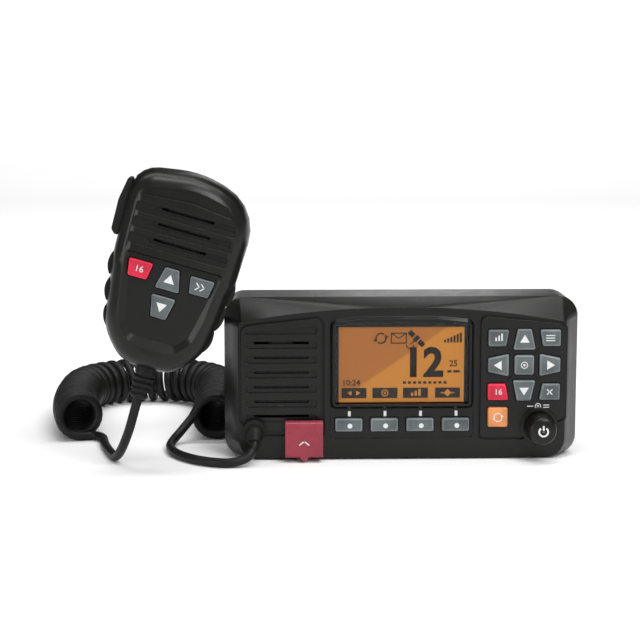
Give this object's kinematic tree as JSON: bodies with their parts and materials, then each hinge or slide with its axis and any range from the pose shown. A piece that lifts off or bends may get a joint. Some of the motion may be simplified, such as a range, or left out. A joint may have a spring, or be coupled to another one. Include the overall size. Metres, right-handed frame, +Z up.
{
  "type": "marine vhf radio",
  "caption": "Fixed-mount marine VHF radio with amber display, key panel, hinged distress cover and a fist microphone that hangs beside it on a curly cord.",
  "frame": {"origin": "under the middle of the display, where the plane of the face (y = 0) meets the plane of the underside (z = 0)", "axes": "+Z up, +X to the right as the user sees it, and the face looks along -Y"},
  "size_m": [0.2808, 0.2119, 0.1503],
  "materials": {
    "housing_plastic": "fine satin",
    "clear_window": "clear",
    "display": "lit amber",
    "dark_mesh": "woven",
    "speaker_cone": "matte",
    "black_rubber": "matte",
    "circuit_board": "coated",
    "ribbon": "matte",
    "cast_chassis": "black coated casting",
    "steel": "plain",
    "nickel": "nickel plated",
    "brass": "plain",
    "grey_keys": "satin",
    "red_keys": "satin",
    "orange_key": "satin",
    "red_cover": "satin"
  },
  "bodies": {
    "radio": {"front_bezel": "housing_plastic", "lcd_frame": "housing_plastic", "display_window": "clear_window", "lcd_module": "display", "speaker_mesh": "dark_mesh", "speaker_frame": "steel", "speaker_cone": "speaker_cone", "keypad_sheet": "black_rubber", "front_board": "circuit_board", "front_gasket": "black_rubber", "chassis": "cast_chassis", "main_board": "circuit_board", "shield_can": "steel", "ribbon_cable": "ribbon", "antenna_socket": "nickel", "power_gland": "black_rubber", "side_inserts": "brass", "bezel_screws": "steel", "cord_gland": "black_rubber", "gland_nut": "housing_plastic", "encoder_body": "steel", "distress_pin": "steel", "distress_spring": "steel", "mic_hanger": "steel", "hanger_screws": "steel", "cord_lead_mic": "black_rubber", "cord_coil": "black_rubber", "cord_lead_radio": "black_rubber"},
    "microphone": {"mic_front_shell": "housing_plastic", "mic_back_shell": "housing_plastic", "mic_grip": "black_rubber", "mic_board": "circuit_board", "mic_speaker": "steel", "hang_button": "steel", "mic_screws": "steel", "mic_boot": "black_rubber"},
    "encoder_rotor": {"encoder_rotor": "brass"},
    "volume_knob": {"encoder_shaft": "steel", "volume_knob": "housing_plastic"},
    "distress_cover": {"distress_cover": "red_cover"},
    "distress_button": {"distress_button": "red_keys"},
    "talk_lever": {"talk_lever": "black_rubber"},
    "key_power_level": {"key_power_level": "grey_keys"},
    "key_up": {"key_up": "grey_keys"},
    "key_menu": {"key_menu": "grey_keys"},
    "key_left": {"key_left": "grey_keys"},
    "key_enter": {"key_enter": "grey_keys"},
    "key_right": {"key_right": "grey_keys"},
    "key_channel_16": {"key_channel_16": "red_keys"},
    "key_down": {"key_down": "grey_keys"},
    "key_clear": {"key_clear": "grey_keys"},
    "key_call": {"key_call": "orange_key"},
    "soft_key_1": {"soft_key_1": "grey_keys"},
    "soft_key_2": {"soft_key_2": "grey_keys"},
    "soft_key_3": {"soft_key_3": "grey_keys"},
    "soft_key_4": {"soft_key_4": "grey_keys"},
    "mic_key_16": {"mic_key_16": "red_keys"},
    "mic_key_up": {"mic_key_up": "grey_keys"},
    "mic_key_scan": {"mic_key_scan": "grey_keys"},
    "mic_key_down": {"mic_key_down": "grey_keys"}
  },
  "joints": [
    {"name": "mic_lift", "type": "slide", "parent": "radio", "child": "microphone", "axis": [0.2807, 0, 0.9598], "range_m": [0, 0.018]},
    {"name": "volume_turn", "type": "hinge", "parent": "radio", "child": "encoder_rotor", "pos_m": [0.07, 0, 0.017], "axis": [0, 1, 0], "continuous": true},
    {"name": "volume_push", "type": "slide", "parent": "encoder_rotor", "child": "volume_knob", "axis": [0, 1, 0], "range_m": [0, 0.0008], "stiffness_N_per_m": 3000},
    {"name": "distress_cover_lift", "type": "hinge", "parent": "radio", "child": "distress_cover", "pos_m": [-0.0503, -0.0038, 0.0178], "axis": [-1, 0, 0], "range_deg": [0, 95], "stiffness_Nm_per_rad": 0.0006, "springref_deg": -34.38},
    {"name": "distress_press", "type": "slide", "parent": "radio", "child": "distress_button", "axis": [0, 1, 0], "range_m": [0, 0.001], "stiffness_N_per_m": 2500},
    {"name": "talk_press", "type": "hinge", "parent": "microphone", "child": "talk_lever", "pos_m": [-0.14255, -0.0195, 0.12015], "axis": [0, 1, 0], "range_deg": [0, 4], "stiffness_Nm_per_rad": 0.8},
    {"name": "press_key_power_level", "type": "slide", "parent": "radio", "child": "key_power_level", "axis": [0, 1, 0], "range_m": [0, 0.0008], "stiffness_N_per_m": 2000},
    {"name": "press_key_up", "type": "slide", "parent": "radio", "child": "key_up", "axis": [0, 1, 0], "range_m": [0, 0.0008], "stiffness_N_per_m": 2000},
    {"name": "press_key_menu", "type": "slide", "parent": "radio", "child": "key_menu", "axis": [0, 1, 0], "range_m": [0, 0.0008], "stiffness_N_per_m": 2000},
    {"name": "press_key_left", "type": "slide", "parent": "radio", "child": "key_left", "axis": [0, 1, 0], "range_m": [0, 0.0008], "stiffness_N_per_m": 2000},
    {"name": "press_key_enter", "type": "slide", "parent": "radio", "child": "key_enter", "axis": [0, 1, 0], "range_m": [0, 0.0008], "stiffness_N_per_m": 2000},
    {"name": "press_key_right", "type": "slide", "parent": "radio", "child": "key_right", "axis": [0, 1, 0], "range_m": [0, 0.0008], "stiffness_N_per_m": 2000},
    {"name": "press_key_channel_16", "type": "slide", "parent": "radio", "child": "key_channel_16", "axis": [0, 1, 0], "range_m": [0, 0.0008], "stiffness_N_per_m": 2000},
    {"name": "press_key_down", "type": "slide", "parent": "radio", "child": "key_down", "axis": [0, 1, 0], "range_m": [0, 0.0008], "stiffness_N_per_m": 2000},
    {"name": "press_key_clear", "type": "slide", "parent": "radio", "child": "key_clear", "axis": [0, 1, 0], "range_m": [0, 0.0008], "stiffness_N_per_m": 2000},
    {"name": "press_key_call", "type": "slide", "parent": "radio", "child": "key_call", "axis": [0, 1, 0], "range_m": [0, 0.0008], "stiffness_N_per_m": 2000},
    {"name": "press_soft_key_1", "type": "slide", "parent": "radio", "child": "soft_key_1", "axis": [0, 1, 0], "range_m": [0, 0.0008], "stiffness_N_per_m": 2000},
    {"name": "press_soft_key_2", "type": "slide", "parent": "radio", "child": "soft_key_2", "axis": [0, 1, 0], "range_m": [0, 0.0008], "stiffness_N_per_m": 2000},
    {"name": "press_soft_key_3", "type": "slide", "parent": "radio", "child": "soft_key_3", "axis": [0, 1, 0], "range_m": [0, 0.0008], "stiffness_N_per_m": 2000},
    {"name": "press_soft_key_4", "type": "slide", "parent": "radio", "child": "soft_key_4", "axis": [0, 1, 0], "range_m": [0, 0.0008], "stiffness_N_per_m": 2000},
    {"name": "press_mic_key_16", "type": "slide", "parent": "microphone", "child": "mic_key_16", "axis": [0, 1, 0], "range_m": [0, 0.0008], "stiffness_N_per_m": 2000},
    {"name": "press_mic_key_up", "type": "slide", "parent": "microphone", "child": "mic_key_up", "axis": [0, 1, 0], "range_m": [0, 0.0008], "stiffness_N_per_m": 2000},
    {"name": "press_mic_key_scan", "type": "slide", "parent": "microphone", "child": "mic_key_scan", "axis": [0, 1, 0], "range_m": [0, 0.0008], "stiffness_N_per_m": 2000},
    {"name": "press_mic_key_down", "type": "slide", "parent": "microphone", "child": "mic_key_down", "axis": [0, 1, 0], "range_m": [0, 0.0008], "stiffness_N_per_m": 2000}
  ]
}
